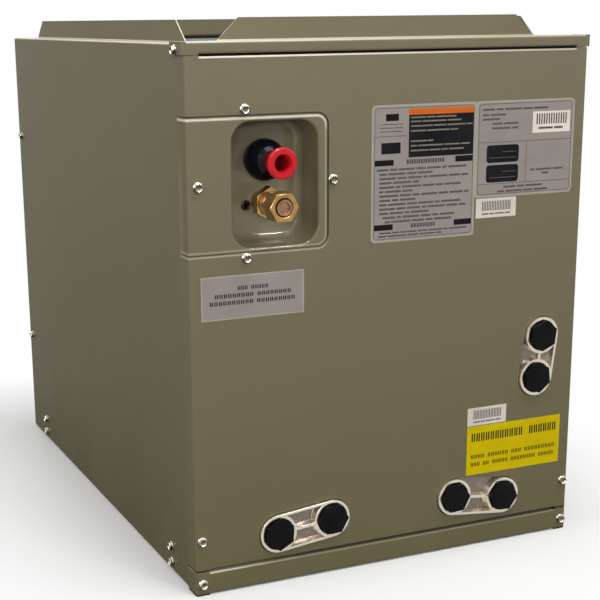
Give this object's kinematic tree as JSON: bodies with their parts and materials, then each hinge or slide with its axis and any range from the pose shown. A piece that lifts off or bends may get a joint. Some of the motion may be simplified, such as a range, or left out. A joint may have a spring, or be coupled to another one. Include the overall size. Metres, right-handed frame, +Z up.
{
  "type": "evaporator coil",
  "caption": "Cased evaporator coil: painted sheet metal cabinet with duct collar, finned A-shaped coil, drain pans with plugged ports and recessed line connections.",
  "frame": {"origin": "middle of the air inlet, on the surface the casing stands on", "axes": "+Z up, the way the air flows; the front with the line connections faces -Y; +X to the right seen from the front"},
  "size_m": [0.379, 0.5514, 0.4643],
  "materials": {
    "casing_paint": "olive grey baked enamel, semi-gloss",
    "foil_insulation": "foil faced foam, soft sheen",
    "galvanised_steel": "galvanised, light spangle",
    "black_moulding": "moulded, matte",
    "aluminium_fins": "bright fin stock",
    "copper_tube": "drawn copper, lightly dulled",
    "brass": "machined brass",
    "copper_cap": "copper coloured disc",
    "black_rubber": "smooth moulded rubber",
    "red_plastic": "soft glossy plastic",
    "black_plug": "moulded, satin",
    "grey_fitting": "pale metallic grey, satin",
    "zinc_screw": "bright zinc plate",
    "dark_screw": "dark plated",
    "grey_label": "printed film, satin",
    "white_label": "printed film, satin",
    "yellow_label": "printed film, satin"
  },
  "bodies": {
    "root": {"access_plate": "casing_paint", "access_plate_screws": "zinc_screw", "apex_cap": "galvanised_steel", "back_insulation": "foil_insulation", "back_panel": "casing_paint", "back_panel_screws": "zinc_screw", "base_drain_pan": "black_moulding", "bottom_front_rail": "casing_paint", "coil_type_label": "grey_label", "data_label": "grey_label", "distributor": "brass", "feeder_tubes": "copper_tube", "front_delta_plate": "galvanised_steel", "front_panel": "casing_paint", "front_panel_screws": "zinc_screw", "front_support_rail": "galvanised_steel", "instruction_label": "grey_label", "left_drain_fitting": "grey_fitting", "left_fin_pack": "aluminium_fins", "left_first_drain_plug": "black_plug", "left_front_end_sheet": "galvanised_steel", "left_hairpins": "copper_tube", "left_insulation": "foil_insulation", "left_rear_end_sheet": "galvanised_steel", "left_return_bends": "copper_tube", "left_second_drain_plug": "black_plug", "left_side_panel": "casing_paint", "left_side_screws": "zinc_screw", "liquid_body": "brass", "liquid_cap": "copper_cap", "liquid_line": "copper_tube", "liquid_nut": "brass", "lower_barcode_label": "white_label", "rear_delta_plate": "galvanised_steel", "rear_support_rail": "galvanised_steel", "recess_screw": "dark_screw", "right_drain_fitting": "grey_fitting", "right_fin_pack": "aluminium_fins", "right_first_drain_plug": "black_plug", "right_front_end_sheet": "galvanised_steel", "right_hairpins": "copper_tube", "right_insulation": "foil_insulation", "right_rear_end_sheet": "galvanised_steel", "right_return_bends": "copper_tube", "right_second_drain_plug": "black_plug", "right_side_panel": "casing_paint", "right_side_screws": "zinc_screw", "side_drain_fitting": "grey_fitting", "side_drain_pan": "black_moulding", "side_first_drain_plug": "black_plug", "side_second_drain_plug": "black_plug", "suction_grommet": "black_rubber", "suction_header": "copper_tube", "suction_seal_plug": "red_plastic", "suction_stubs": "copper_tube", "top_front_rail": "casing_paint", "top_rail_screws": "zinc_screw", "upper_barcode_label": "white_label", "yellow_note_label": "yellow_label"}
  },
  "joints": []
}
